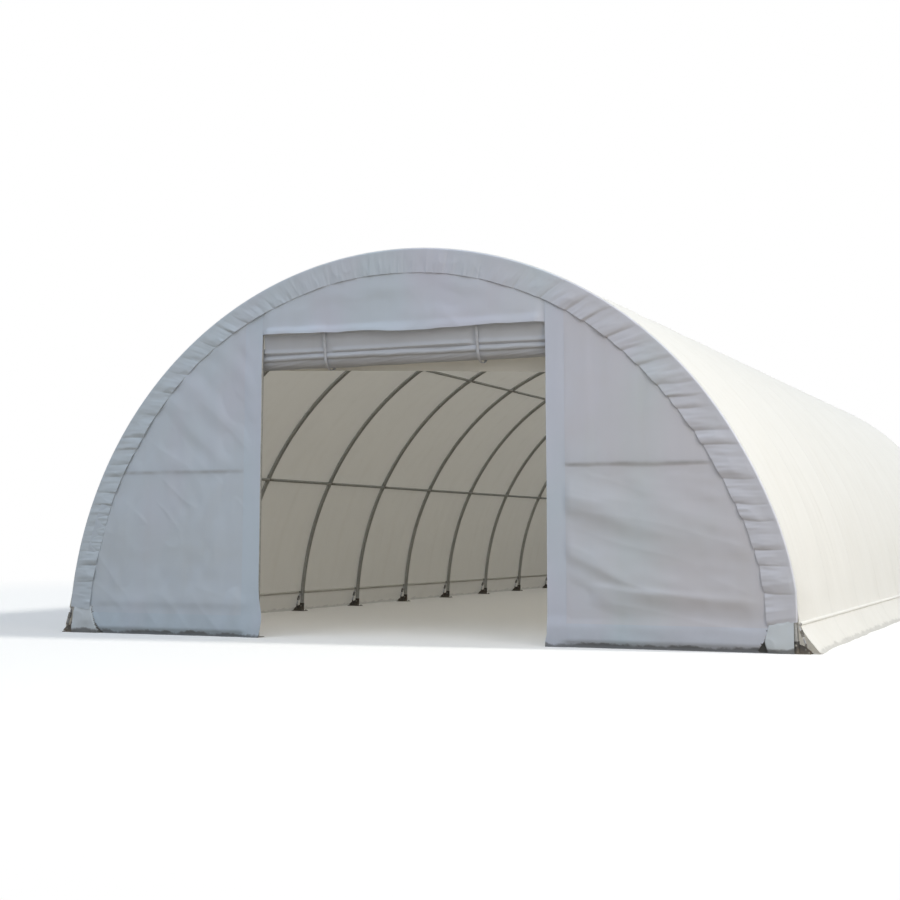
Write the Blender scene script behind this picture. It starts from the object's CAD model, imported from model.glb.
import math
import bpy
import numpy as np
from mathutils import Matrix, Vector


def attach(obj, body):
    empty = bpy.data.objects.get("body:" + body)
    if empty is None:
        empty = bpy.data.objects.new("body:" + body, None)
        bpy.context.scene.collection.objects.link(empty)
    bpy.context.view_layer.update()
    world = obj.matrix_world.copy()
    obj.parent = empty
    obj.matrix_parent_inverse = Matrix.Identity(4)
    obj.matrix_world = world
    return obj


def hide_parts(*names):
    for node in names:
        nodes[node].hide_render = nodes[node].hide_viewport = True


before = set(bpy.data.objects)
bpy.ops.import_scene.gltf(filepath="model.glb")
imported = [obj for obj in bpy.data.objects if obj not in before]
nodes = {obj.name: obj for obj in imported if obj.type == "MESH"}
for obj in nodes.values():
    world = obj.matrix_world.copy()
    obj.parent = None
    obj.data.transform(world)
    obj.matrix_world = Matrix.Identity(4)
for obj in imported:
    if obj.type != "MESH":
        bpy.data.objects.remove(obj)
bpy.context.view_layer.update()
scene = bpy.context.scene

# ---- Camera ----
# It stands in front of the door's right side at chest height, and looks in past the door at the left wall.
camera_data = bpy.data.cameras.new("camera")
camera_data.sensor_width = 36
camera_data.lens = 60.326
camera_data.shift_x = 0.005
camera_data.shift_y = -0.1365
camera = bpy.data.objects.new("camera", camera_data)
camera.location = (7.541, -25.822, 1.195)
upward, leftward = 0.1379, 0.4112
camera.rotation_euler = (math.pi / 2 + upward, 0, leftward)
scene.collection.objects.link(camera)
scene.camera = camera
scene.view_settings.view_transform = "Standard"

# ---- Daylight and ground ----
# A low sun on the right side of the cover, a pale blue sky with its brightest part in front and overhead,
# and a plain pale ground. What the camera sees past the ground is white.
class Value:
    """A number or colour at a node's output. Sums with it add Math nodes."""

    def __init__(self, finish, socket):
        self.finish, self.socket = finish, socket

    def out(self, name):
        return Value(self.finish, self.socket.node.outputs[name])

    def math(self, operation, other=0.0, clamp=False):
        return self.finish.node("Math", {0: self, 1: other}, operation=operation, use_clamp=clamp)

    def __add__(self, other):
        return self.math("ADD", other)

    def __sub__(self, other):
        return self.math("SUBTRACT", other)

    def __rsub__(self, other):
        return self.finish.node("Math", {0: other, 1: self}, operation="SUBTRACT")

    def __mul__(self, other):
        return self.math("MULTIPLY", other)

    def __truediv__(self, other):
        return self.math("DIVIDE", other)

    def __abs__(self):
        return self.math("ABSOLUTE")

    __radd__ = __add__
    __rmul__ = __mul__

    def clamped(self):
        return self.math("ADD", clamp=True)

    def above(self, low, gain):
        """0 up to low, and rising from there to 1 by that gain."""
        return ((self - low) * gain).clamped()

    def within(self, reach):
        """1 where the value is 0, falling to 0 at that reach on both sides."""
        return (1.0 - abs(self) / reach).clamped()


class Finish:
    """A material or the sky while it is put together."""

    def __init__(self, owner):
        owner.use_nodes = True
        self.tree = owner.node_tree
        self.tree.nodes.clear()

    def node(self, kind, sockets=None, **settings):
        made = self.tree.nodes.new("ShaderNode" + kind)
        for key, setting in settings.items():
            setattr(made, key, setting)
        for key, value in (sockets or {}).items():
            if isinstance(value, Value):
                self.tree.links.new(value.socket, made.inputs[key])
            elif isinstance(value, tuple) and len(value) < len(made.inputs[key].default_value):
                made.inputs[key].default_value = (*value, 1)
            else:
                made.inputs[key].default_value = value
        return Value(self, made.outputs[0]) if made.outputs else None

    def spot(self):
        """The place on the shelter's own axes."""
        return self.node("TexCoord").out("Object")

    def axes(self):
        return self.node("SeparateXYZ", {"Vector": self.spot()})

    def mixed(self, share, colour_a, colour_b, how="MIX"):
        """Two colours mixed by a share from 0 to 1."""
        return self.node("Mix", {0: share, 6: colour_a, 7: colour_b}, data_type="RGBA", blend_type=how).out(2)

    def noise(self, scale, detail=3.0, roughness=0.5, stretch=(1, 1, 1)):
        """Cloudy pattern from 0 to 1, at a scale in lumps per metre."""
        laid = self.node("Mapping", {"Vector": self.spot(), "Scale": stretch})
        return self.node("TexNoise", {"Vector": laid, "Scale": scale, "Detail": detail, "Roughness": roughness})

    def bump(self, height, strength, depth):
        return self.node("Bump", {"Height": height, "Strength": strength, "Distance": depth})

    def shows(self, surface, where="Material"):
        self.node("Output" + where, {"Surface": surface})


sky = bpy.data.worlds.new("sky")
scene.world = sky
finish = Finish(sky)
light_path = finish.node("LightPath")
seen = (light_path + light_path.out("Is Glossy Ray") + light_path.out("Is Transmission Ray")).clamped()
daylight = finish.node("Background", {"Color": (0.86, 0.92, 1.0), "Strength": 0.4})
white = finish.node("Background", {"Color": (1.0, 1.0, 1.0), "Strength": 1.0})
finish.shows(finish.node("MixShader", {0: seen, 1: daylight, 2: white}), "World")


def lamp(name, kind, energy, colour, source, where=(0, 0, 0)):
    """A lamp whose light comes from the way of source."""
    light = bpy.data.lights.new(name, kind)
    light.energy, light.color = energy, colour
    made = bpy.data.objects.new(name, light)
    made.location = where
    made.rotation_euler = Vector(source).to_track_quat("Z", "Y").to_euler()
    scene.collection.objects.link(made)
    return light


lamp("sun", "SUN", 2.1, (1.0, 0.975, 0.92), (1.0, 0.16, 0.62)).angle = math.radians(6)
lamp("open_sky", "SUN", 0.98, (0.81, 0.895, 1.0), (0.05, -0.7, 1.15)).angle = math.radians(60)
lamp("bright_cloud", "AREA", 410, (1.0, 0.9, 0.78), (8.0, -7.5, 6.0), (11.5, -18.0, 8.0)).size = 6.0

ground_half = 300.0
ground_mesh = bpy.data.meshes.new("ground")
corners = [(x * ground_half, y * ground_half, 0) for x, y in ((-1, -1), (1, -1), (1, 1), (-1, 1))]
ground_mesh.from_pydata(corners, [], [(0, 1, 2, 3)])
ground = bpy.data.objects.new("ground", ground_mesh)
scene.collection.objects.link(ground)
ground_mesh.materials.append(bpy.data.materials.new("pale_ground"))
finish = Finish(ground_mesh.materials[0])
seen = finish.node("LightPath")
bare = finish.node("BsdfDiffuse", {"Color": (0.33, 0.285, 0.23)})
near = finish.node("AddShader", {0: finish.node("BsdfDiffuse", {"Color": (0.95, 0.94, 0.92)}),
                                 1: finish.node("Emission", {"Color": (1, 1, 1), "Strength": 0.05})})
away = finish.node("VectorMath", {0: finish.spot()}, operation="LENGTH").out("Value")
far = finish.node("Emission", {"Color": (1, 1, 1), "Strength": 1.0})
shown = finish.node("MixShader", {0: ((away - 14.0) / 8.0).clamped(), 1: near, 2: far})
finish.shows(finish.node("MixShader", {0: seen, 1: bare, 2: shown}))

# ---- Arches, purlins, posts, girts and pipes ----
# Bent and straight steel tube, hot-dip galvanised: dull grey with a fine spangle, a little white rust, and
# dust on what faces up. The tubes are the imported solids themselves.
def coated(names, material):
    """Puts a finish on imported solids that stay."""
    for name in names:
        nodes[name].data.materials.clear()
        nodes[name].data.materials.append(material)


galvanised = bpy.data.materials.new("galvanised_steel")
finish = Finish(galvanised)
spangle = finish.node("TexVoronoi", {"Vector": finish.spot(), "Scale": 70.0})
spangle = finish.node("SeparateColor", {"Color": spangle.out("Color")})
stain = finish.noise(9.0, detail=5.0, roughness=0.62).above(0.46, 4.0)
zinc = finish.mixed(spangle, (0.39, 0.4, 0.395), (0.51, 0.52, 0.515))
zinc = finish.mixed(stain * 0.55, zinc, (0.46, 0.45, 0.42))
finish.shows(finish.node("BsdfPrincipled", {
    "Base Color": zinc, "Metallic": 0.75 - stain * 0.45, "Roughness": 0.42 + spangle * 0.12 + stain * 0.2,
    "Normal": finish.bump(stain * 0.6 + spangle * 0.3, 0.12, 0.002)}))
coated([n for n in nodes if n.startswith(("arch_", "purlin_", "tension_pipe_", "front_post_", "back_post_"))]
       + ["front_header", "front_girts", "back_girts", "door_roll_tube"], galvanised)

# ---- Bolts ----
# Zinc-plated hexagon nuts on washers: one under each purlin where it is pressed flat on an arch, and two
# bolts with head and nut through each sleeve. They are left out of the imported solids.
def skin(rounds, flip=False, closed=False):
    """The surface through a run of equal rings of points, with capped ends unless the run closes."""
    count, around = rounds.shape[:2]
    i, j = np.meshgrid(np.arange(count if closed else count - 1), np.arange(around), indexing="ij")
    k, n = (j + 1) % around, (i + 1) % count
    quads = np.stack([i * around + j, i * around + k, n * around + k, n * around + j], -1)
    faces = [tuple(q) for q in quads.reshape(-1, 4).tolist()]
    if not closed:
        faces += [tuple(range(around))[::-1], tuple(range((count - 1) * around, count * around))]
    return rounds.reshape(-1, 3), [f[::-1] for f in faces] if flip else faces


def turned(profile, around):
    """A closed turned shape about +Z, from (radius, height) pairs from its bottom to its top."""
    turn = np.arange(around) * 2 * math.pi / around
    return skin(np.array([[(r * math.cos(a), r * math.sin(a), h) for a in turn] for r, h in profile]))


def joined(shapes):
    """Several (points, faces) as one."""
    points, faces, start = [], [], 0
    for p, f in shapes:
        points.append(p)
        faces += [tuple(i + start for i in face) for face in f]
        start += len(p)
    return np.concatenate(points), faces


def placed(shape, where, axis):
    """A shape made about +Z, stood at a point so that its +Z is along axis."""
    turn = np.array(Vector(axis).normalized().to_track_quat("Z", "Y").to_matrix())
    return shape[0] @ turn.T + np.array(where), shape[1]


def piece(name, shape, material, sharp=70, stands_for=()):
    """A mesh object that goes with the shelter, from (points, faces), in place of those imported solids."""
    mesh = bpy.data.meshes.new(name)
    mesh.from_pydata([tuple(p) for p in shape[0]], [], shape[1])
    mesh.update()
    mesh.materials.append(material)
    mesh.shade_smooth()
    mesh.set_sharp_from_angle(angle=math.radians(sharp))
    made = bpy.data.objects.new(name, mesh)
    scene.collection.objects.link(made)
    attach(made, "root")
    if stands_for:
        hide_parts(*stands_for)
    return made


def nut(size, washer=True):
    """A hexagon nut of that bolt size, in metres, on its washer, with the bolt's end standing out."""
    across, high = size * 0.92, size * 0.8
    body = [(across * 0.94, 0.0015), (across, 0.003), (across, high), (across * 0.9, high + 0.0015)]
    end = [(size / 2, high), (size / 2, high + size * 0.35), (size * 0.4, high + size * 0.45)]
    parts = [turned(body, 6), turned(end, 10)]
    if washer:
        parts.append(turned([(size * 1.25, 0), (size * 1.25, 0.0016), (size * 1.2, 0.0022)], 20))
    return joined(parts)


zinc_plate = bpy.data.materials.new("zinc_plate")
finish = Finish(zinc_plate)
dull = finish.noise(60.0).above(0.4, 3.0)
finish.shows(finish.node("BsdfPrincipled", {
    "Base Color": finish.mixed(dull, (0.34, 0.34, 0.32), (0.19, 0.17, 0.14)),
    "Metallic": 0.8 - dull * 0.4, "Roughness": 0.5 + dull * 0.25}))
half_len, bay = 9.905, 1.981
arch_r, sleeve_r = 4.533, 0.033
tongue_t, tongue_gap = 0.006, 0.0005
tongue_face = arch_r - sleeve_r - tongue_gap - tongue_t
arch_rows = [-half_len + i * bay for i in range(11)]
bolt_steel = []
for y in arch_rows:
    for angle in np.radians((27, 58.5, 90, 121.5, 153)):  # where the five purlins cross the arch
        out = np.array([math.cos(angle), 0, math.sin(angle)])
        along = np.array([-math.sin(angle), 0, math.cos(angle)])
        bolt_steel.append(placed(nut(0.01), out * tongue_face + (0, y, 0), -out))
        for step in (-0.05, 0.05):
            middle = out * arch_r + along * step + (0, y, 0)
            bolt_steel.append(placed(nut(0.01), middle + (0, sleeve_r, 0), (0, 1, 0)))
            bolt_steel.append(placed(nut(0.01, washer=False), middle - (0, sleeve_r, 0), (0, -1, 0)))
piece("frame_bolts", joined(bolt_steel), zinc_plate, sharp=30)

# ---- Base plates and anchors ----
# Plain steel plates with a welded socket and gusset, dark and dusty, under both feet of every arch. Each is
# held by four anchor bolts, and one bolt goes through the socket and the arch.
plate_steel = bpy.data.materials.new("plate_steel")
finish = Finish(plate_steel)
patch = finish.noise(14.0, detail=6.0, roughness=0.65).above(0.47, 5.0)
dust = (1.0 - finish.axes().out("Z") * 12.0).clamped() * (finish.noise(30.0) + 0.2)
paint = finish.mixed(patch, (0.085, 0.085, 0.082), (0.13, 0.092, 0.066))
finish.shows(finish.node("BsdfPrincipled", {
    "Base Color": finish.mixed(dust.clamped() * 0.6, paint, (0.3, 0.26, 0.2)),
    "Metallic": 0.35 - patch * 0.3, "Roughness": 0.55 + patch * 0.3,
    "Normal": finish.bump(patch, 0.25, 0.001)}))
coated(("base_plates_left", "base_plates_right"), plate_steel)
plate_x, plate_t = arch_r + 0.04, 0.008
end_plate_shift = 0.042  # the plates of the end arches stand this far towards the middle
socket_r, socket_bolt_z = 0.0345, 0.085
anchors = []
for row, y in enumerate(arch_rows):
    shift = end_plate_shift * ((row == 0) - (row == 10))
    for side in (-1, 1):
        anchors += [placed(nut(0.012), (side * plate_x + dx, y + shift + dy, plate_t), (0, 0, 1))
                    for dx in (-0.085, 0.085) for dy in (-0.055, 0.055)]
        bolt_x = side * (arch_r - 0.001)
        anchors += [placed(nut(0.012), (bolt_x, y + face * socket_r, socket_bolt_z), (0, face, 0))
                    for face in (-1, 1)]
piece("anchor_bolts", joined(anchors), zinc_plate, sharp=30)

# ---- Cover ----
# One sheet of white coated fabric, welded from lengths that run over the arches, pulled down tight by the
# pipes in its bottom pockets. It rests on the arches and draws in a little between them.
lattice = np.random.default_rng(65).random((64, 64))


def lumps(across, along, cell):
    """Smooth random lumps from -1 to 1, with lumps about cell metres wide both ways."""
    a, b = np.asarray(across) / cell[0] + 31.7, np.asarray(along) / cell[1] + 17.3
    i, j = np.floor(a).astype(int), np.floor(b).astype(int)
    s, t = a - i, b - j
    s, t = s * s * (3 - 2 * s), t * t * (3 - 2 * t)

    def row(j):
        low, high = lattice[i % 64, j % 64], lattice[(i + 1) % 64, j % 64]
        return low + (high - low) * s

    near, far = row(j), row(j + 1)
    return 2 * (near + (far - near) * t) - 1


def ramp(value, low, high):
    """0 up to low, 1 from high, and smooth between."""
    t = np.clip((np.asarray(value, float) - low) / (high - low), 0, 1)
    return t * t * (3 - 2 * t)


def crumple(across, along, cell):
    """Sharp little creases between flat facets, from 0 to 1."""
    return (1 - np.abs(lumps(across, along, cell))) ** 3


def sheet_faces(rows, columns, flip=False):
    """The quads of a grid of points, numbered row by row."""
    first = (np.arange(rows - 1)[:, None] * columns + np.arange(columns - 1)).ravel()
    quads = np.stack([first, first + 1, first + columns + 1, first + columns], 1)
    return [tuple(q) for q in (quads[:, ::-1] if flip else quads).tolist()]


def cloth(x, y, z, flip=False):
    """A sheet through a grid of points."""
    points = np.stack(np.broadcast_arrays(x, y, z), -1)
    return points.reshape(-1, 3), sheet_faces(*points.shape[:2], flip)


def fabric(name, colour, soiled, glow, glow_colour=(0.8, 0.8, 0.8), soil_height=0.5, banded=0.0, muddy=0.0,
           rubbed_at=None, sunned=0.0, welded=0.0, streaky=0.16):
    """A coated woven sheet that lets some daylight through. `banded` is how much dust lies in level bands,
    `muddy` is for the last few centimetres above the ground, `rubbed_at` is the height of a pipe behind the
    sheet that leaves a line, `sunned` is how much the sunny side has yellowed, and `welded` is the distance
    between the lap welds that run across the shelter."""
    made = bpy.data.materials.new(name)
    finish = Finish(made)
    place = finish.axes()
    height = place.out("Z")
    cloud = finish.noise(0.9, detail=6.0, roughness=0.6)
    fine = finish.noise(16.0, detail=4.0, roughness=0.6)
    splash = (1.0 - height / soil_height).clamped().math("POWER", 2.0) * (0.35 + fine)
    streak = finish.noise(5.0, detail=5.0, stretch=(1.0, 1.0, 0.12)).above(0.5, 3.0)
    bands = finish.noise(0.8, detail=4.0, stretch=(0.45, 1.0, 1.9)).above(0.4, 2.6)
    bands = bands * (1.35 - height * 0.55).clamped() * banded
    grime = (cloud.above(0.42, 1.5) * 0.3 + streak * streaky + splash * 0.55 + bands).clamped()
    shade = finish.mixed(grime, colour, soiled)
    if welded:
        lap = abs(((place.out("Y") + half_len) / welded + 10.48).math("FRACT") - 0.5) * welded
        shade = finish.mixed((lap - 0.026).within(0.005) * 0.75, shade, (0.5, 0.5, 0.48))
        dust_line = (lap - 0.5 * welded).within(0.1)
        shade = finish.mixed(dust_line * (streak * 0.5 + 0.25) * 0.55, shade, soiled)
    if sunned:
        faded = finish.noise(0.9, detail=2.0, stretch=(1.0, 1.0, 0.5)) - 0.38
        faded = (faded * 4.0 + place.out("X") * 0.16).clamped()
        tone = finish.mixed(faded, (0.97, 1.012, 1.0), (1.025, 0.988, 1.008))
        shade = finish.mixed(1.0, shade, tone, "MULTIPLY")
        tint = (cloud - 0.5 + (place.out("X") - 0.6) / 2.4).clamped() * sunned
        shade = finish.mixed(tint, shade, (1.0, 0.945, 0.83), "MULTIPLY")
    if rubbed_at:
        line = (height - rubbed_at - (cloud - 0.5) * 0.03).within(0.034)
        patchy = finish.noise(3.2).above(0.3, 3.2)
        shade = finish.mixed(line * patchy * 0.55, shade, (0.34, 0.35, 0.36))
    if muddy:
        splashed = finish.noise(4.5, detail=4.0, roughness=0.55)
        mud = ((0.052 - height) / 0.022 + (fine - 0.5) * 1.8 + (splashed - 0.5) * 5.5).clamped() * muddy
        shade = finish.mixed(mud, shade, (0.16, 0.165, 0.17))
    tape = 0.012
    tapes = [(place.out(axis) * (2 * math.pi / tape)).math("SINE") for axis in "XYZ"]
    weave = (tapes[0] + tapes[1] + tapes[2]) * 0.17 + 0.5
    body = finish.node("BsdfPrincipled", {
        "Base Color": shade, "Roughness": 0.46 + fine * 0.1 + grime * 0.16, "Specular IOR Level": 0.35,
        "Normal": finish.bump(weave * 0.5 + fine * 0.5, 0.16, 0.0012)})
    through = finish.node("BsdfTranslucent", {"Color": glow_colour})
    finish.shows(finish.node("MixShader", {0: glow, 1: body, 2: through}))
    return made


def foot_bulge(angle):
    """How far the cover's front edge bellies out over the right foot of the end arch."""
    return np.interp(np.degrees(angle), (4, 8, 12, 17, 20, 24, 28), (0, 0.034, 0.036, 0.028, 0.017, 0.008, 0))


cover_fabric = fabric("cover_fabric", (0.88, 0.88, 0.85), (0.78, 0.77, 0.72), 0.18, (0.9, 0.88, 0.8),
                      muddy=0.3, welded=bay, streaky=0.34)
pocket_angle = math.asin(0.3 / 4.567)
cover_r = 4.5695
lip = np.array([0.018, 0.031, 0.034])  # the cover's edge past the end arch, and its turned-in rim
angle, y = np.meshgrid(np.linspace(pocket_angle, math.pi - pocket_angle, 151),
                       np.concatenate([-half_len - lip[::-1], np.linspace(-half_len, half_len, 341),
                                       half_len + lip]), indexing="ij")
along = angle * cover_r
from_side = np.minimum(angle, math.pi - angle)
between = np.where(np.abs(y) < half_len, np.abs(np.sin(math.pi * (y + half_len) / bay)), 0)
low = ramp(from_side, 0.75, 0.2)
draw_in = 0.028 * between ** 0.9
draw_in += between * (0.006 * lumps(along, y, (1.4, 0.3)) + 0.004 * lumps(along + 7, y, (0.5, 0.5)))
draw_in += between * low * (0.012 * lumps(along, y + 0.12 * along, (2.2, 0.17))
                            + 0.009 * crumple(along * 0.4, y - 0.1 * along, (0.8, 0.3)))
over_pocket = from_side - pocket_angle
draw_in *= 0.06 + 0.94 * ramp(over_pocket, 0, 0.13)
from_seam = np.abs((y + half_len) % bay - 0.52 * bay)
draw_in -= 0.003 * (1 - ramp(from_seam, 0.026, 0.034))
past = np.maximum(np.abs(y) - half_len, 0)
radius = cover_r - draw_in + 0.0035 * ramp(past, 0, lip[0]) - 0.006 * ramp(past, lip[1], lip[2])
radius += 0.019 * (1 - ramp(over_pocket, 0, 0.035))
radius += foot_bulge(angle) * np.exp(-(np.maximum(y + half_len, 0) / 1.3) ** 2)
shape = cloth(radius * np.cos(angle), y, radius * np.sin(angle))
cover = piece("cover", shape, cover_fabric, 60,
              [f"cover_{side}_{part}" for side in ("right", "left") for part in ("lower", "middle", "upper")])

# ---- Skirts ----
# Below each long edge the cover is welded round the tension pipe as a pocket, and its loose skirt spreads
# out over the ground. The free edge has a narrow welded hem and lies in soft waves.
pipe_x, pipe_z, pocket_r, inner_pocket_r = 4.576, 0.3, 0.0195, 0.0185
skirt_out, plate_clear, strap_clear = 0.165, 0.012, 0.055
sides = ((1, "right"), (-1, "left"))
y = np.linspace(-half_len, half_len, 561)
for side, name in sides:
    profile = [(cover_r * math.cos(pocket_angle) + 0.014, cover_r * math.sin(pocket_angle) + 0.022)]
    profile += [(pipe_x + pocket_r * math.cos(a), pipe_z + pocket_r * math.sin(a))
                for a in np.radians(np.linspace(62, -62, 10))]
    last_x, last_z = profile[-1]
    profile += [(last_x + (pipe_x + skirt_out - last_x) * (0.72 * t + 0.28 * t ** 2.3), last_z * (1 - t))
                for t in np.linspace(0, 1, 16)[1:]]
    x, z = np.array(profile).T[:, :, None]
    free = ramp(np.arange(len(profile)), 8, len(profile) - 1)[:, None]
    wave = 0.014 * lumps(y, 3.1 * side, (0.42, 1)) + 0.01 * lumps(y, 9.4 * side, (0.19, 1))
    wave = wave + 0.006 * lumps(y + z * 0.6, z, (0.1, 0.25))
    at_end = np.exp(-((half_len - np.abs(y)) / 0.55) ** 2)
    if side > 0:  # flared at its ends
        x = x + free * wave + 0.045 * free ** 1.5 * at_end
    else:  # drawn in at its ends, as far as the straps' ratchets let it
        x = x + free * wave * (1 - 0.85 * at_end) - 0.073 * free ** 4.5 * at_end
    z = np.maximum(z, plate_clear * (half_len - np.abs(y) < 0.1))  # its ends lie on the base plates
    points, faces = cloth(side * x, y, z, flip=side < 0)
    edge = points.reshape(len(profile), len(y), 3)
    edge[-2] = edge[-1] + (edge[-3] - edge[-1]) * 0.5
    shapes = [(points, faces)]
    around = np.radians(np.linspace(80, 280, 13))[:, None]  # the pocket's inner side, open at each strap
    for row in arch_rows[:-1]:
        shapes.append(cloth(side * (pipe_x + inner_pocket_r * np.cos(around)),
                            np.linspace(row + strap_clear, row + bay - strap_clear, 24),
                            pipe_z + inner_pocket_r * np.sin(around), flip=side < 0))
    skirt = piece(f"skirt_{name}_fabric", joined(shapes), cover_fabric, 70, ["skirt_" + name])

# ---- Gathered borders ----
# At both ends the cover turns round the end arch and is drawn in on the end wall by a rope in its hem. The
# spare length lies in pleats that are deepest at the rope and die out towards the arch.
panel_fabric = fabric("panel_fabric", (0.665, 0.722, 0.835), (0.565, 0.585, 0.61), 0.09, soil_height=0.35,
                      banded=0.55, muddy=0.8, rubbed_at=1.985, sunned=0.5)
border_fabric = fabric("border_fabric", (0.655, 0.71, 0.8), (0.55, 0.57, 0.6), 0.07, soil_height=0.35,
                       banded=0.2, sunned=0.3)
border_inner_r, border_arc_r, border_wrap_r = 4.272, 4.546, 0.0235
border_angle = math.asin(0.32 / 4.572)
wall_y = half_len + 0.0365
hem_rope_r = 0.005
# where one pleat ends and the next begins, in degrees round the arch
pleats = (0, 3.9, 8.3, 11.9, 14.2, 18.7, 21.1, 24.9, 30.4, 32.8, 36.8, 39.1, 41.5, 45.8, 49.2, 52.5, 57, 60.5,
          65, 70, 76, 82, 89, 96, 102, 108, 113, 118, 121, 125, 129, 132, 136, 141, 145.5, 147.8, 150.6, 152.8,
          155.8, 158.1, 160, 162.1, 163.7, 165, 166.3, 168.8, 171.6, 180)
# how far the rope strays from its even course, in millimetres against degrees
rope_at = (4, 8, 13, 17, 22, 26, 30, 38, 46, 52, 62, 70, 80, 90, 97, 110, 118, 128, 135, 141, 147, 153, 157,
           161, 168, 173, 180)
rope_off = (-5, 0, 10, -6, -30, -45, -52, -54, -44, -28, -8, -8, 0, 9, 20, 21, 34, 40, 36, 28, 12, 20, 22,
            3, -10, 0, 0)
for end, name, arch in ((-1, "front", "arch_01"), (1, "back", "arch_11")):
    pleat_rng = np.random.default_rng(11 if end < 0 else 23)
    edges = np.radians(pleats)
    if end > 0:
        edges[1:-1] += pleat_rng.uniform(-0.02, 0.02, len(edges) - 2)
        edges.sort()
    width = np.diff(edges) * border_inner_r
    depth = np.clip(width * pleat_rng.uniform(0.05, 0.12, len(width)), 0.007, 0.024)
    reach = pleat_rng.uniform(0.35, 1.0, len(width))
    peak = pleat_rng.uniform(0.16, 0.42, len(width))
    angle = np.linspace(border_angle, math.pi - border_angle, 2000)
    side = np.where(angle < math.pi / 2, 1.0, -1.0)
    rise = np.where(side > 0, angle, math.pi - angle)
    lean = np.minimum(np.tan(np.minimum(rise, 1.2)), 0.65) * (1 - ramp(rise, 1.0, 1.4))
    crown = 0.36 + 0.64 * (1 - ramp(rise, 0.95, 1.3))
    t = angle * border_inner_r
    inner_r = border_inner_r + 0.001 * np.interp(np.degrees(angle), rope_at, rope_off)
    arc_r = border_arc_r + (foot_bulge(angle) if end < 0 else 0)
    droop = np.where(side > 0, 0.0095, 0.003) * (1 - ramp(rise, border_angle, border_angle + 0.09))
    points = []
    for share in np.linspace(1, 0, 20):
        r = arc_r + (inner_r - arc_r) * share
        moved = angle + side * lean * (r - border_inner_r) / border_inner_r
        moved = moved + 0.005 * lumps(t, r, (0.4, 0.25))
        k = np.clip(np.searchsorted(edges, moved, side="right") - 1, 0, len(edges) - 2)
        u = np.clip((moved - edges[k]) / (edges[k + 1] - edges[k]), 0, 1)
        u = np.where(side > 0, u, 1 - u)
        # a pleat swells sharply over the one below it and then lies back in a long slope
        swell = np.sin(0.5 * math.pi * np.minimum(u / peak[k], 1)) ** 0.8
        slope = 1 - np.maximum((u - peak[k]) / (1 - peak[k]), 0) ** 1.25
        belly = np.minimum(swell, slope)
        fade = 0.3 + 0.7 * ramp(share, 0.55 - reach[k] * 0.75, 1.05 - reach[k] * 0.45)
        fade = fade * (0.45 + 0.55 * ramp(share, 0.0, 0.1))
        near = np.minimum(u, 1 - u) * width[k]
        crease = np.where(side > 0, 0.003, 0.001) * np.exp(-(near / 0.009) ** 2)
        lift = depth[k] * belly * fade * crown * np.where(side > 0, 1, 0.8) - crease * fade
        small = t + side * lean * (r - border_inner_r)
        lift = lift + (0.005 * lumps(small, r, (0.06, 0.2)) + 0.003 * lumps(small, r, (0.03, 0.12))
                       + 0.005 * crumple(small, r * 0.7, (0.12, 0.16))) * (0.35 + 0.65 * share)
        out = wall_y + 0.01 + np.maximum(lift, -0.006)
        wavy = -0.008 * belly * share ** 3 * crown + 0.004 * lumps(t, 5 * end, (0.24, 1)) * share ** 2
        low = angle - side * droop * share
        points.append(np.stack([(r + wavy) * np.cos(low), end * out, (r + wavy) * np.sin(low)], -1))
    for a in np.radians(np.linspace(0, 90, 9))[1:]:  # round the arch
        r = arc_r + border_wrap_r * math.sin(a)
        turned_out = out - border_wrap_r * (1 - math.cos(a))
        points.append(np.stack([r * np.cos(angle), end * turned_out, r * np.sin(angle)], -1))
    # its last edge is welded on under the cover's lip
    points.append(points[-1] * (1, 0, 1) + np.array([0, end * (half_len + 0.008), 0]))
    border = piece(name + "_border_fabric", cloth(*np.moveaxis(np.array(points), -1, 0), flip=end > 0),
                   border_fabric, 75, [name + "_border"])

    # the rope runs in a narrow hem along the inner edge
    line = points[0][::2]
    inward = line * (-1, 0, -1) / np.linalg.norm(line[:, ::2], axis=1)[:, None]
    ring = np.radians(np.arange(0, 360, 45))[:, None]
    line = line + inward * -0.003 - np.array([0, end * 0.005, 0])
    rope = line[:, None] + hem_rope_r * (np.cos(ring) * inward[:, None] + np.sin(ring) * np.array([0, 1, 0]))
    hem = piece(name + "_border_rope_hem", skin(rope), border_fabric, 75)

# ---- Front wall panels ----
# Two fabric panels beside the doorway, one over it. They are laced to the end arch under the border, pulled
# against the girt, and doubled over at the doorway and along the ground. They hang with soft slack folds.
hem_fabric = fabric("hem_fabric", (0.665, 0.735, 0.85), (0.54, 0.62, 0.71), 0.05, soil_height=0.9,
                    banded=0.25, muddy=0.8, sunned=0.3)
tail_fabric = fabric("tail_fabric", (0.68, 0.745, 0.8), (0.58, 0.63, 0.66), 0.05, soil_height=0.2, muddy=0.8)
fold_fabric = fabric("soiled_fold_fabric", (0.22, 0.23, 0.23), (0.12, 0.12, 0.11), 0.02, (0.5, 0.5, 0.5))
door_half, door_head = 1.829, 3.6
girt_z, panel_edge_r = 2.041, 4.43
hem_high, hem_reach = 0.255, 4.25


def ridge(distance, above, below):
    """A fold's outline across its crest: it falls off over `above` on one side and `below` on the other."""
    d = np.asarray(distance, float)
    return np.exp(-np.where(d > 0, (d / above) ** 2, (d / below) ** 2))


def laced(x, z):
    """1 on the wall, falling to 0 where the panel is laced to the end arch."""
    return 1 - ramp(np.hypot(x, z), 4.05, 4.3)


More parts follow.
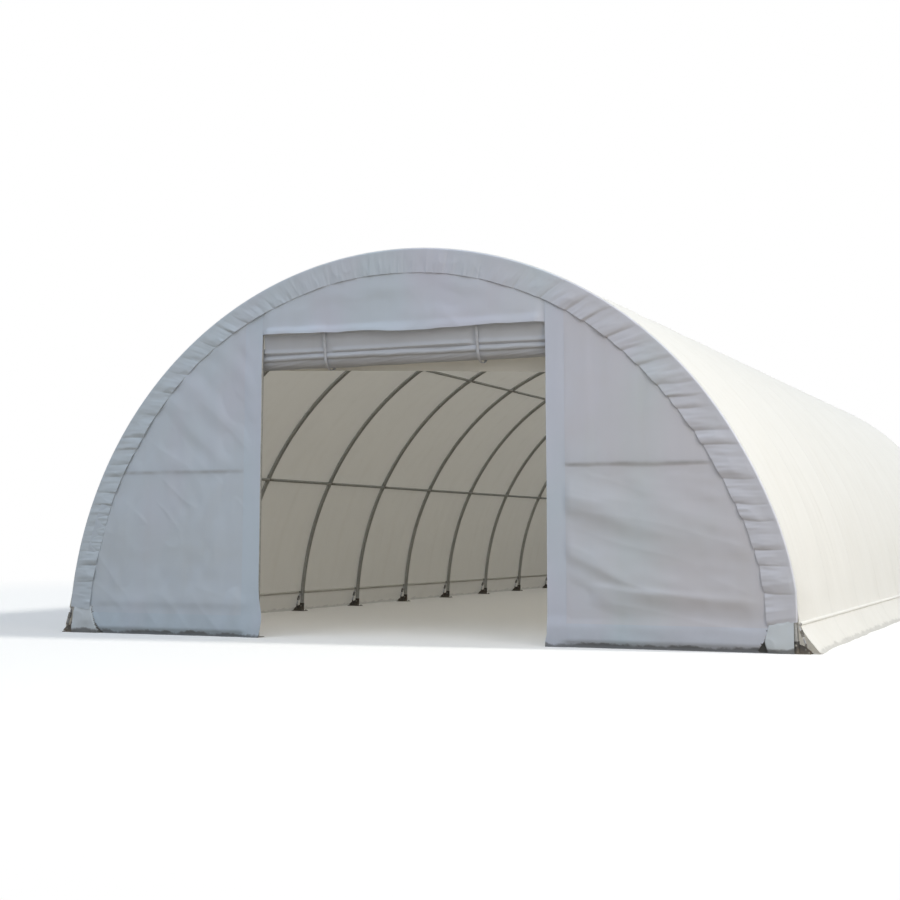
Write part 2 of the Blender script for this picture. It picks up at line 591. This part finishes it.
def wall_sheet(x0, x1, z0, z1, step, out, limit=None, bend=None):
    """A sheet on the end wall between those edges, `out(x, z)` in front of the wall's middle plane.

    `limit(x, z)` is how far from the middle it may reach; its last points there are moved onto that line."""
    x0, x1 = sorted((x0, x1))
    columns, rows = round((x1 - x0) / step) + 1, round((z1 - z0) / step) + 1
    x, z = np.meshgrid(np.linspace(x0, x1, columns), np.linspace(z0, z1, rows))
    r = np.hypot(x, z)
    over = r > panel_edge_r
    inside = ~over
    scale = np.where(over, panel_edge_r / np.maximum(r, 1e-6), 1.0)
    x, z = x * scale, z * scale
    if limit is not None:
        edge = limit(x, z)
        inside &= np.abs(x) <= edge
        x = np.where(inside & (np.abs(x) > edge - step), np.sign(x) * edge, x)
    y = out(x, z)
    if bend is not None:
        x = x + bend(x, z)
    quads = np.array(sheet_faces(rows, columns))
    quads = quads[~over.ravel()[quads].all(1) & (inside | over).ravel()[quads].all(1)]
    used, index = np.unique(quads, return_inverse=True)
    points = np.stack([x.ravel(), y.ravel(), z.ravel()], 1)[used]
    return points, [tuple(q) for q in index.reshape(-1, 4).tolist()]


# each fold's crest as (x, z) points, its depth, its spread above and below, and where it starts and ends
right_fold_lines = (
    (((1.91, 1.59), (2.26, 1.49), (2.87, 1.32), (3.48, 1.19), (4.2, 1.09)), 0.032, 0.24, 0.115, 1.8, 4.3),
    (((2.6, 1.9), (3.0, 1.66), (3.45, 1.42), (4.1, 1.25)), 0.009, 0.18, 0.12, 2.7, 4.2),
    (((3.0, 2.0), (3.4, 1.8), (3.95, 1.47)), 0.007, 0.16, 0.1, 3.1, 4.1),
    (((2.0, 1.09), (2.31, 0.92), (2.66, 0.75), (3.02, 0.62), (4.2, 0.565)), 0.029, 0.2, 0.1, 1.86, 4.25),
    (((2.26, 0.65), (2.77, 0.59), (3.48, 0.55), (4.25, 0.505)), 0.025, 0.05, 0.16, 2.26, 4.28),
    (((2.1, 0.8), (2.3, 0.66), (2.6, 0.5)), 0.009, 0.12, 0.09, 2.0, 2.9),
)


def right_folds(x, z):
    """How far the right panel stands out: slack below the girt lies in folds that fall to the right."""
    near_edge = ramp(x, door_half + 0.17, door_half + 0.31)
    free = near_edge * laced(x, z)
    below = 1 - ramp(z, girt_z - 0.3, girt_z - 0.08)
    fall = z + 0.28 * (x - door_half) - 0.03 * (x - door_half) ** 2
    out = 0.007 * lumps(x, z, (0.9, 0.7)) + 0.004 * lumps(x + 3, z, (0.11, 1.1)) * (1 - below)
    out += free * below * (0.007 * lumps(x, fall, (1.1, 0.26)) + 0.003 * lumps(x + 9, fall, (0.5, 0.11))
                           + 0.004 * crumple(x * 0.6, fall, (0.8, 0.22))
                           + 0.003 * lumps(x, z + 5, (0.14, 0.13)))
    line = girt_z - 0.064 - 0.01 * (x - 2.0) + 0.008 * lumps(x, 0, (0.5, 1))
    out += free * (0.013 * ridge(z - line - 0.022, 0.26, 0.026) - 0.006 * ridge(z - line + 0.012, 0.016, 0.1))
    for crest, depth, above, under, start, end in right_fold_lines:
        line = np.interp(x, *zip(*crest)) + 0.02 * lumps(x, depth * 100, (0.35, 1))
        along = ramp(x, start, start + 0.25) * (1 - 0.6 * ramp(x, start + 0.5, end))
        along = along * (0.75 + 0.25 * lumps(x, z + depth * 300, (0.4, 0.4)))
        out += depth * ridge(z - line, above, under) * along * free
    crown = 1.63 - 0.2 * (x - 2.06)
    out += 0.013 * ridge(z - crown, 0.055, 0.11) * np.exp(-((x - 2.25) / 0.24) ** 2) * near_edge
    return out + 0.016 * ramp(0.36 - z, 0, 0.16)


def left_folds(x, z):
    """The left panel's softer folds: long upright ones at the arch side, slanting ones beside the doorway."""
    x = np.abs(x)
    near_edge = ramp(x, door_half + 0.04, door_half + 0.3)
    free = near_edge * laced(x, z)
    slant = z - 0.9 * (x - door_half)
    out = 0.009 * lumps(x, z, (0.8, 0.8)) + 0.009 * lumps(x + 11, z, (0.2, 1.6)) * laced(x, z)
    out += 0.014 * near_edge * lumps(slant, x + z, (0.26, 1.3)) * ramp(z, 1.9, 2.4)
    out += 0.012 * near_edge * lumps(z * 0.45 + x, z - x, (0.19, 1.5)) * (1 - ramp(z, 1.5, 2.1))
    out += 0.004 * lumps(x, z, (0.12, 0.18)) + 0.005 * near_edge * crumple(slant, x + 0.7 * z, (0.36, 0.9))
    line = girt_z - 0.07 + 0.01 * (x - 2.0) + 0.014 * lumps(x, 2, (0.5, 1))
    patchy = np.clip(0.7 + 0.6 * lumps(x, 4.4, (0.35, 1)), 0.1, 1)
    return out + 0.01 * free * (ridge(z - line - 0.018, 0.2, 0.042) * patchy + ridge(z - 0.4, 0.12, 0.06))


def curled_foot(x, z):
    """How far the ground hem's last few centimetres curl back under the wall."""
    return 0.03 * ramp(0.085 - z, 0, 0.07) * ramp(np.abs(x), 1.96, 2.1)


def jamb_bulge(x, z):
    """The left hem at the doorway bellies out near the ground, the right one only where it stands on it."""
    edge = 1 - ramp(np.abs(x), door_half, door_half + 0.25)
    belly = np.where(x < 0, 0.045 * np.exp(-((z - 0.22) / 0.2) ** 2), 0.02 * ramp(0.16 - z, 0, 0.12) - 0.012)
    return -np.sign(x) * edge * (belly + 0.006 * lumps(z, 0, (0.5, 1)))


def notch(x, z):
    """How far from the middle the panel reaches beside the tail at the foot of the border."""
    right = np.interp(z, (0.0, 0.04, 0.08, 0.11, 0.25), (4.147, 4.155, 4.184, 4.207, 4.262))
    left = np.interp(z, (0.0, 0.03, 0.07, 0.12, 0.28), (4.08, 4.105, 4.138, 4.174, 4.23))
    return np.where(z > 0.33, 9.0, np.where(x > 0, right, left))


def add_tail(name, points, faces, deep, arch):
    """A panel's bottom corner, left loose below the border, with dirt where it is tucked in deep."""
    tail = piece(name, (points, faces), tail_fabric)
    tail.data.materials.append(fold_fabric)
    tail.data.polygons.foreach_set("material_index", deep.astype(np.int32))


tails = []
for side, name, folds in ((1, "right", right_folds), (-1, "left", left_folds)):
    def face(x, z):
        return -(wall_y + np.maximum(folds(x, z), -0.004) - curled_foot(x, z))

    shape = wall_sheet(side * door_half, side * (panel_edge_r + 0.02), 0.0, 4.06, 0.0165, face, notch,
                       jamb_bulge)
    panel = piece(f"front_panel_{name}_fabric", shape, panel_fabric,
                  stands_for=["front_panel_" + name])
    # the doubled hems, which hold the light better than the single sheet
    jamb_hem = wall_sheet(side * (door_half - 0.001), side * (door_half + 0.23), 0.0, 4.05, 0.019,
                          lambda x, z: face(x, z) - 0.0035 - 0.002 * lumps(z, 0, (0.3, 1)), bend=jamb_bulge)
    ground_hem = wall_sheet(side * (door_half + 0.225), side * hem_reach, 0.0, hem_high, 0.0195,
                            lambda x, z: face(x, z) - 0.003, notch)
    hem = piece(f"front_hems_{name}", joined([jamb_hem, ground_hem]), hem_fabric)

    v, u = np.meshgrid(np.linspace(0, 1, 30), np.linspace(0, 1, 60), indexing="ij")
    outer = 4.521 if side > 0 else 4.484 + 0.038 * v
    x = 4.02 + (outer - 4.02) * u
    z = (0.335 - 0.012 * (1 - u)) * (1 - v)
    edge = (4.247, 4.243, 4.231, 4.222, 4.268) if side > 0 else (4.138, 4.148, 4.165, 4.188, 4.24)
    shown = np.interp(z, (0.0, 0.04, 0.08, 0.12, 0.28), edge)
    tucked = ramp(shown - x, 0.0, 0.022)
    y = -(wall_y + 0.014 + 0.016 * v * (1 - v) * 2 + 0.012 * ramp(x - shown, 0, 0.1) * v
          + 0.007 * lumps(x * side, z, (0.12, 0.1)) + 0.004 * crumple(x * side, z, (0.15, 0.12)))
    y = y + 0.06 * tucked
    points, faces = cloth(side * x, y + 0.01 * ramp(0.055 - z, 0, 0.055), z, flip=side > 0)
    deep = tucked.ravel()[np.array(faces)].mean(1) > 0.3
    add_tail("front_tail_" + name, points, faces, deep, "arch_01")
    tails.append(("back_tail_" + name, points * (1, -1, 1), [f[::-1] for f in faces], deep, "arch_11"))


def over_door(x, z):
    """The panel over the doorway: level soft folds, and short slanting ones that start at its hem."""
    folds = 0.012 * lumps(x, z, (1.1, 0.2)) + 0.008 * lumps(x + z, z, (0.3, 0.5))
    folds += 0.019 * lumps(x - 0.8 * z, z + x * 0.2, (0.24, 0.9)) * ramp(4.0 - z, 0.02, 0.38) * laced(x, z)
    folds += 0.005 * crumple(x + 0.5 * z, z, (0.45, 0.3))
    out = 0.006 + np.maximum(folds * laced(x, z) + 0.003, -0.004)
    out += 0.026 * (1 - ramp(z, door_head - 0.03, door_head + 0.12))
    return -(wall_y - 0.006 + out * (1 - ramp(np.abs(x), door_half - 0.1, door_half - 0.006)))


head_x = door_half + 0.1
points, faces = wall_sheet(-head_x, head_x, door_head - 0.03, panel_edge_r, 0.022, over_door)
x, z = points[:, 0], points[:, 2]
sag = np.interp(x, (-1.83, -0.9, 0.0, 1.83), (0.072, 0.05, 0.031, 0.036))
sag += 0.016 * lumps(x, 7.7, (0.55, 1)) + 0.006 * lumps(x, 2.2, (0.17, 1))
points[:, 2] += (1 - ramp(z, door_head - 0.03, door_head + 0.16)) * sag
head_panel = piece("front_panel_head_fabric", (points, faces), panel_fabric,
                   stands_for=["front_panel_head"])

# ---- Back wall ----
# One closed panel on posts and girts, with the same border, ground hem and corner tails as the front.
def back_face(x, z):
    """The closed panel's soft folds, looser than the front's and with its girt and hem lines."""
    folds = 0.007 * lumps(x + 40, z, (0.9, 0.8))
    line = girt_z - 0.055 + 0.012 * lumps(x, 6, (0.5, 1))
    folds += laced(x, z) * (
        0.004 * lumps(x, z + 40, (0.24, 1.5)) + 0.004 * crumple(x, z, (0.5, 0.4))
        + 0.012 * lumps(z + 0.5 * x + 9, x, (0.26, 1.8)) * (1 - ramp(z, 1.6, 2.0))
        + 0.011 * ridge(z - line - 0.02, 0.22, 0.026) + 0.01 * ridge(z - 0.4, 0.1, 0.05))
    return wall_y + np.maximum(folds, -0.004) - curled_foot(x, z)


points, faces = wall_sheet(-panel_edge_r, panel_edge_r, 0.0, panel_edge_r, 0.03, back_face, notch)
back = piece("back_panel_fabric", (points, [f[::-1] for f in faces]), panel_fabric,
             stands_for=["back_panel"])
points, faces = wall_sheet(-hem_reach, hem_reach, 0.0, hem_high, 0.03,
                           lambda x, z: back_face(x, z) + 0.003, notch)
back_hem = piece("back_hem", (points, [f[::-1] for f in faces]), hem_fabric)
for tail in tails:
    add_tail(*tail)

# ---- Rolled-up door ----
# The door's fabric hangs from a sleeve on the header and is rolled up on a steel tube, and its last turn
# ends in a hem along the front of the roll. Its bottom edge hangs out behind the roll as a slanting flap.
door_fabric = fabric("door_fabric", (0.62, 0.655, 0.72), (0.46, 0.47, 0.49), 0.06, (0.75, 0.75, 0.7),
                     soil_height=0.2)
header_z, header_sleeve_r = 3.661, 0.024
roll_in, roll_z, roll_r = 0.181, 3.34, 0.15
roll_half, curtain_half = door_half + 0.09, door_half - 0.003
layer, sling_x = 0.016, 0.99


def under_slings(x):
    """1 where a sling holds the roll, and 0 away from it."""
    return sum(np.clip(1.7 * np.exp(-((x - s) / 0.04) ** 2), 0, 1) for s in (-sling_x, sling_x))


def turn_of_cloth(x, r, angle, flip=True):
    return cloth(x, -half_len + roll_in + r * np.cos(angle), roll_z + r * np.sin(angle), flip)


x = np.linspace(-roll_half, roll_half, 161)
held = under_slings(x)
angle = np.radians(np.linspace(150, 510, 121))[:, None]
r = roll_r - layer + layer * (angle - angle[0]) / (2 * math.pi)
r = r + 0.005 * lumps(x + angle * 0.35, angle, (0.3, 0.8)) + 0.004 * lumps(x, angle * 2, (1.1, 0.9))
r = r + 0.0025 * lumps(x + angle * 0.9, angle, (0.09, 0.5))
degrees = np.degrees(angle) % 360
wander = 3.0 * lumps(x, 1.5, (0.8, 1)) + 1.2 * lumps(x, 6.5, (0.25, 1))
r = r + 0.008 * np.exp(-((degrees - 181 - wander) / 8.0) ** 2)  # the hem
r = r - 0.02 * ramp(degrees, 189 + wander, 199 + wander) * (1 - ramp(degrees, 320, 360))
r = np.minimum(r, 0.16)
r = r - np.maximum(r - 0.1485, 0) * held
shapes = [turn_of_cloth(x, r, angle)]
# the inner turns, wound down to the tube, which show at the roll's ends as a spiral
angle = np.radians(np.linspace(150 - 360 * 6, 150, 217))[:, None]
r = np.linspace(0.03, 0.115, 217)[:, None]
r = r + (roll_r - layer - 0.115) * ramp(angle, math.radians(60), math.radians(150))
x = np.linspace(-1, 1, 31) * (roll_half - 0.006 + 0.006 * np.sin(angle * 1.7))
shapes.append(turn_of_cloth(x, r, angle))
# the curtain from the header's sleeve down to the roll
under_header = header_z - header_sleeve_r
line = [(header_sleeve_r * math.cos(a), header_z + header_sleeve_r * math.sin(a))
        for a in np.radians(np.linspace(-30, 270, 25))]
line += [(0.01 + 0.03 * t ** 1.5, under_header - (under_header - roll_z - 0.04) * t)
         for t in np.linspace(0.04, 1, 46)]
y, z = np.array(line).T[:, :, None]
x = np.linspace(-curtain_half, curtain_half, 161)
hang = ramp(np.arange(len(line)), 25, len(line) - 1)[:, None]
y = y + hang * 0.006 * (1 + lumps(x, z * 2, (0.4, 0.5)))
y = y + hang * 0.003 * lumps(x + 0.5 * z, z, (0.12, 0.3))
lip_z = roll_z + 0.072 + 0.01 * lumps(x, 1.5, (0.8, 1))
y = y - 0.02 * ridge(z - lip_z, 0.034, 0.014) * (1 - 0.9 * held)
y = y + 0.016 * ramp(lip_z - 0.014 - z, 0, 0.016)
shapes.append(cloth(x, -half_len + y, z))
door = piece("door_roll_fabric", joined(shapes), door_fabric, 50, ["door_roll"])

# The flap shows behind and below the roll, lowest at the right.
flap_fabric = fabric("door_flap_fabric", (0.88, 0.875, 0.84), (0.74, 0.73, 0.68), 0.42, (0.92, 0.91, 0.86))
flap_top = roll_z - 0.02
x = np.linspace(-roll_half, roll_half, 121)
v = np.linspace(0, 1, 21)[:, None]
bottom = np.interp(x, (-roll_half, -1.2, roll_half), (3.24, 3.205, 3.055)) + 0.006 * lumps(x, 0, (0.5, 1))
out = roll_in + roll_r - 0.004 + 0.01 * np.sin(math.pi * v) * lumps(x, 3, (0.5, 1))
flap = piece("door_flap", cloth(x, -half_len + out, flap_top + (bottom - flap_top) * v), flap_fabric,
             60)

# ---- Slings ----
# Two loops of flat polyester webbing hold the roll up. Each is sewn closed round the header and the roll, and
# is drawn tight through a wire buckle on its front run.
webbing = bpy.data.materials.new("webbing")
finish = Finish(webbing)
worn = finish.noise(22.0, detail=5.0).above(0.42, 3.0)
place = finish.axes()
ribs = ((place.out("Z") + place.out("Y") * 0.6) * 2600.0).math("SINE")
cords = ((place.out("X") + place.out("Y")) * 1900.0).math("SINE")
finish.shows(finish.node("BsdfPrincipled", {
    "Base Color": finish.mixed(worn * 0.7, (0.61, 0.64, 0.7), (0.5, 0.51, 0.53)),
    "Roughness": 0.72 + worn * 0.15, "Normal": finish.bump(ribs * 0.25 + cords * 0.25 + 0.5, 0.5, 0.0008)}))


def swept(path, across, section, closed):
    """A section of (across, up) points carried along a path."""
    path, across = np.array(path, float), np.array(across) / np.linalg.norm(across)
    along = np.roll(path, -1, 0) - np.roll(path, 1, 0) if closed else np.gradient(path, axis=0)
    up = np.cross(along, across)
    up /= np.linalg.norm(up, axis=1)[:, None]
    rounds = [[p + across * a + u * b for a, b in section] for p, u in zip(path, up)]
    return skin(np.array(rounds), flip=True, closed=closed)


def band(path, width, thick, across=(0, 1, 0), closed=False):
    """Flat webbing along a path, with its width on the `across` way and slightly rounded edges."""
    w, t, soft = width / 2, thick / 2, thick * 0.3
    return swept(path, across, [(-w, -t + soft), (-w + soft, -t), (w - soft, -t), (w, -t + soft),
                                (w, t - soft), (w - soft, t), (-w + soft, t), (-w, t - soft)], closed)


def wire(path, across, closed=False):
    """Buckle wire along a path that lies square to `across`."""
    turn = np.arange(8) * math.pi / 4
    return swept(path, across, 0.0022 * np.stack([np.cos(turn), np.sin(turn)], 1), closed)


strap_w, strap_t = 0.035, 0.003
header_out_r, sling_gap = 0.0265, 0.0025
r_top, r_low = header_out_r + sling_gap, roll_r + sling_gap
fall = math.atan2(roll_z - header_z, roll_in)
contact = math.acos((r_top - r_low) / math.hypot(roll_in, header_z - roll_z))
round_header = [(r_top * math.cos(a), header_z + r_top * math.sin(a))
                for a in np.linspace(fall + contact, fall - contact + 2 * math.pi, 16)]
round_roll = [(roll_in + r_low * math.cos(a), roll_z + r_low * math.sin(a))
              for a in np.linspace(fall - contact, fall + contact, 40)]
back_run = np.linspace(round_header[-1], round_roll[0], 12)[1:-1]
front_run = np.linspace(round_roll[-1], round_header[0], 12)[1:-1]
slings, buckles = [], []
for x in (-sling_x, sling_x):
    loop = [(x, -half_len + y, z) for y, z in (*round_header, *back_run, *round_roll, *front_run)]
    slings.append(band(loop, strap_w, strap_t, (1, 0, 0), closed=True))
    doubled = [(x, -half_len + y - 0.0022, z + 0.001) for y, z in front_run[1:8]]
    slings.append(band(doubled, strap_w * 0.98, 0.0018, (1, 0, 0)))
    y, z = front_run[3] + (-half_len - 0.005, 0)
    corners = np.array([(x - 0.022, y, z - 0.014), (x + 0.022, y, z - 0.014),
                        (x + 0.022, y, z + 0.014), (x - 0.022, y, z + 0.014)])
    frame_line = [p + (q - p) * t for p, q in zip(corners, np.roll(corners, -1, 0)) for t in (0.08, 0.5, 0.92)]
    buckles.append(wire(frame_line, (0, -1, 0), closed=True))
    buckles.append(wire([(x - 0.022, y - 0.0005, z), (x + 0.022, y - 0.0005, z)], (0, -0.8, 0.5)))
piece("door_sling_webbing", joined(slings), webbing, 50, ["door_slings"])
piece("door_sling_buckles", joined(buckles), zinc_plate, 50)

# ---- Tie straps ----
# At every arch foot a webbing strap with a small steel ratchet pulls the tension pipe down. Its lower end has
# a hook plate with a pin through the hole in the base plate's gusset.
def slab(outline, low, high):
    """A flat plate from its outline of (x, z) points, from y low to y high."""
    return skin(np.array([[(x, y, z) for x, z in outline] for y in (low, high)]), flip=True)


def rounded(corners, radius):
    """A closed outline with its corners rounded."""
    corners, line = np.array(corners), []
    for before, here, after in zip(np.roll(corners, 1, 0), corners, np.roll(corners, -1, 0)):
        start, stop = (here + (p - here) / np.linalg.norm(p - here) * radius for p in (before, after))
        line += [(1 - t) ** 2 * start + 2 * t * (1 - t) * here + t * t * stop for t in np.linspace(0, 1, 4)]
    return line


def bar(x, z, radius, half, head=0.0):
    """A round bar across the strap, with thicker heads where `head` is given."""
    profile = [(radius, -half), (radius, half)]
    if head:
        profile = [(head * 0.85, -half - 0.003), (head, -half - 0.002), (head, -half), *profile,
                   (head, half), (head, half + 0.002), (head * 0.85, half + 0.003)]
    return placed(turned(profile, 12), (x, 0, z), (0, 1, 0))


foot_x, foot_z, hole_z = 4.628, 0.098, 0.044
top_x, top_z = 4.5687, 0.27826
strap_len = math.hypot(top_x - foot_x, top_z - foot_z)
strap_lean = math.atan2(top_x - foot_x, top_z - foot_z)


def stood(shape):
    """A strap part made along +Z, leaned as the strap stands on its gusset."""
    c, s = math.cos(strap_lean), math.sin(strap_lean)
    x, y, z = shape[0].T
    return np.stack([foot_x + x * c + z * s, y, foot_z - x * s + z * c], -1), shape[1]


spool_z = 0.094
cheek = rounded([(-0.011, 0.078), (0.01, 0.078), (0.012, 0.108), (0.008, 0.144), (-0.009, 0.144)], 0.004)
handle = rounded([(0.001, 0.084), (0.013, 0.082), (0.0145, 0.15), (0.009, 0.151)], 0.003)
teeth = [(r * math.cos(i * math.pi / 13), spool_z + r * math.sin(i * math.pi / 13))
         for i, r in enumerate((0.0098, 0.0125) * 13)]
steel = [slab(outline, *sorted((y * near, y * far))) for y in (-1, 1)
         for outline, near, far in ((cheek, 0.019, 0.0206), (handle, 0.0212, 0.0228), (teeth, 0.0166, 0.0184))]
steel += [bar(0, spool_z, 0.006, 0.0225, head=0.0085), bar(0, 0.137, 0.0035, 0.02, head=0.006),
          bar(0.0115, 0.147, 0.0045, 0.021), bar(0.004, 0.112, 0.0028, 0.02)]
steel = [stood(shape) for shape in steel]
hook = rounded([(-0.013, -0.013), (0.013, -0.013), (0.013, 0.03), (0.011, 0.064), (-0.011, 0.064),
                (-0.013, 0.03)], 0.006)
pin = turned([(0.007, -0.0065), (0.007, 0.011), (0.0105, 0.011), (0.0105, 0.0135), (0.0085, 0.0145)], 16)
steel += [slab([(foot_x + x, hole_z + z) for x, z in hook], 0.005, 0.009),
          placed(pin, (foot_x, 0, hole_z), (0, 1, 0)),
          placed(turned([(0.0036, -0.021), (0.0036, 0.021)], 10), (foot_x, 0, foot_z + 0.006), (0, 1, 0))]
turns = [(0.0068 + 0.0009 * i / 8, i * math.pi / 4) for i in range(17)]
eye = [(-0.0055 * math.sin(a), 0, 0.006 - 0.0055 * math.cos(a)) for a in np.linspace(-1.9, 1.9, 9)]
cloth_parts = [
    band([(r * math.cos(a), 0, spool_z + r * math.sin(a)) for r, a in turns], 0.032, 0.001),
    band([(0, 0, z) for z in np.linspace(0.1, strap_len, 8)], strap_w, strap_t),
    band([(-0.0024, 0, z) for z in np.linspace(0.156, strap_len - 0.004, 4)], strap_w, 0.0016),
    band([(0, 0, 0.137), (0.003, 0, 0.06), *eye, (-0.003, 0, 0.06)], 0.03, 0.0018)]
cloth_parts = [stood(shape) for shape in cloth_parts]
for side, name in sides:
    for kind, parts, material, slot, stands_for in (
            ("webbing", cloth_parts, webbing, "webbing", ["tie_straps_" + name]),
            ("ratchets", steel, zinc_plate, "galvanised_steel", ())):
        points, faces = joined(parts)
        points = points * (side, 1, 1)
        if side < 0:
            faces = [f[::-1] for f in faces]
        piece(f"tie_strap_{kind}_{name}", joined([(points + (0, y, 0), faces) for y in arch_rows]),
              material, 35, stands_for)
